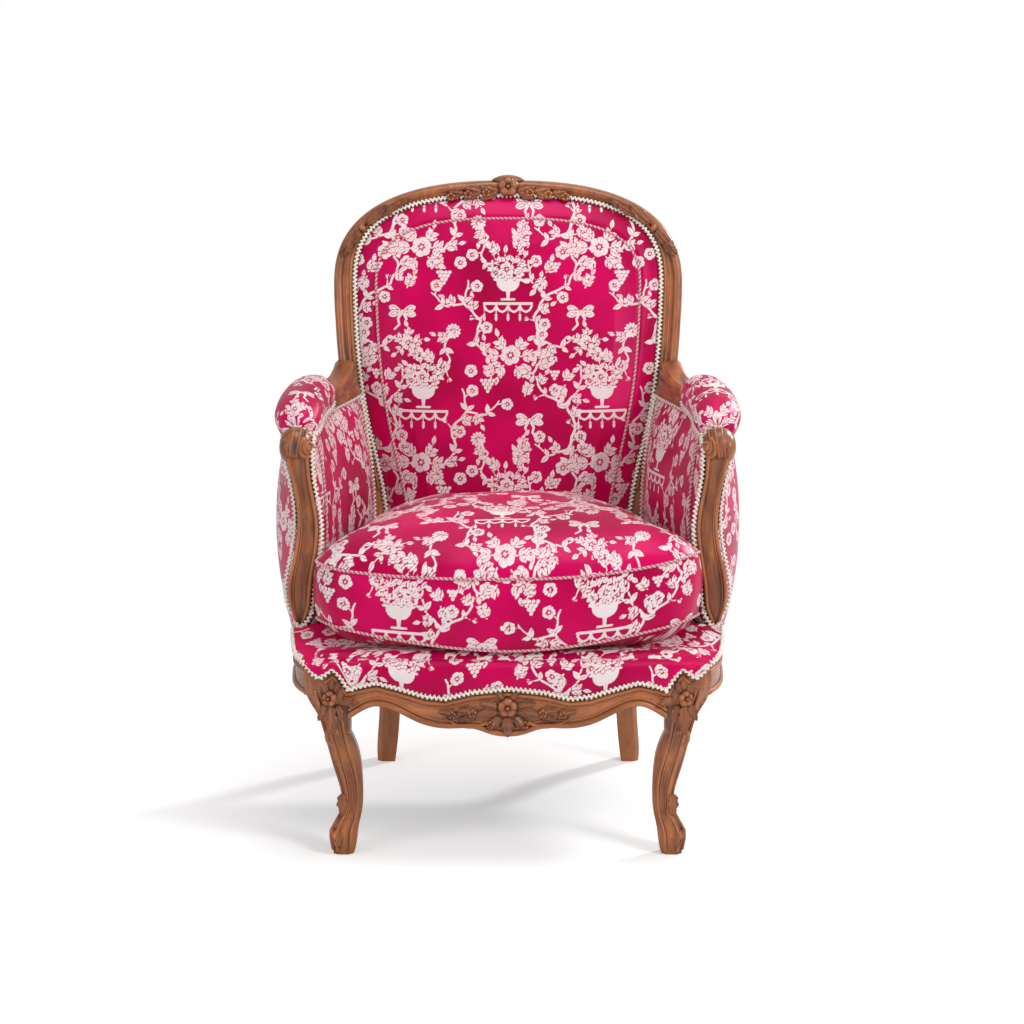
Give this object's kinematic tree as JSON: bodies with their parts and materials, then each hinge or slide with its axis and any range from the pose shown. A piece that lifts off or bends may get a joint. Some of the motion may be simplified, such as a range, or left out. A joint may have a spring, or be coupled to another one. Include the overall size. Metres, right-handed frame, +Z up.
{
  "type": "bergere armchair",
  "caption": "Closed-arm upholstered armchair with a carved wooden frame, raked arched back, scrolled arm supports, cabriole front legs and a loose seat cushion.",
  "frame": {"origin": "bottom centre of the overall box, on the floor", "axes": "+Z up, +Y from the front of the seat to the back, +X to the right as the chair is seen from the front"},
  "size_m": [0.7108, 0.6864, 0.975],
  "materials": {
    "beech_block": "plain sawn beech, unfinished",
    "brocade": "crimson satin with a silver-white woven pattern of flowering branches",
    "dust_cloth": "black bottoming cloth",
    "feather_filling": "feather and down in a ticking case",
    "gimp_braid": "cream scroll braid",
    "hair_stuffing": "curled horsehair under calico",
    "hessian": "open jute hessian",
    "jute_webbing": "woven jute webbing",
    "piping_cord": "twisted pink and cream cord",
    "screw_steel": "slotted steel wood screws",
    "tack_iron": "blued iron upholstery tacks",
    "waxed_walnut": "carved and moulded walnut, hand waxed, darker in the grooves"
  },
  "bodies": {
    "chair_frame": {"arm_hessian_left": "hessian", "arm_hessian_right": "hessian", "arm_rail_left": "waxed_walnut", "arm_rail_right": "waxed_walnut", "arm_support_left": "waxed_walnut", "arm_support_right": "waxed_walnut", "armrest_cover_left": "brocade", "armrest_cover_right": "brocade", "armrest_pad_left": "hair_stuffing", "armrest_pad_right": "hair_stuffing", "back_hessian": "hessian", "back_inside_cover": "brocade", "back_inside_gimp": "gimp_braid", "back_lower_rail": "waxed_walnut", "back_outside_cover": "brocade", "back_outside_gimp": "gimp_braid", "back_pad": "hair_stuffing", "back_piping": "piping_cord", "back_post_left": "waxed_walnut", "back_post_right": "waxed_walnut", "back_webbing_crosswise": "jute_webbing", "back_webbing_upright": "jute_webbing", "corner_block_screws": "screw_steel", "corner_blocks": "beech_block", "crest_rail": "waxed_walnut", "deck_gimp": "gimp_braid", "dust_cover": "dust_cloth", "dust_cover_tacks": "tack_iron", "front_leg_left": "waxed_walnut", "front_leg_right": "waxed_walnut", "front_rail": "waxed_walnut", "inside_arm_cover_left": "brocade", "inside_arm_cover_right": "brocade", "inside_arm_gimp_left": "gimp_braid", "inside_arm_gimp_right": "gimp_braid", "inside_arm_pad_left": "hair_stuffing", "inside_arm_pad_right": "hair_stuffing", "joint_pegs": "waxed_walnut", "outside_arm_cover_left": "brocade", "outside_arm_cover_right": "brocade", "outside_arm_pad_left": "hair_stuffing", "outside_arm_pad_right": "hair_stuffing", "rear_rail": "waxed_walnut", "seat_deck_cover": "brocade", "seat_deck_pad": "hair_stuffing", "seat_hessian": "hessian", "seat_webbing_crosswise": "jute_webbing", "seat_webbing_lengthwise": "jute_webbing", "side_rail_left": "waxed_walnut", "side_rail_right": "waxed_walnut"},
    "seat_cushion": {"cushion_cover": "brocade", "cushion_filling": "feather_filling", "cushion_piping_bottom": "piping_cord", "cushion_piping_top": "piping_cord"}
  },
  "joints": [
    {"name": "cushion_lift", "type": "slide", "parent": "chair_frame", "child": "seat_cushion", "axis": [0, 0, 1], "range_m": [0, 0.3]}
  ]
}
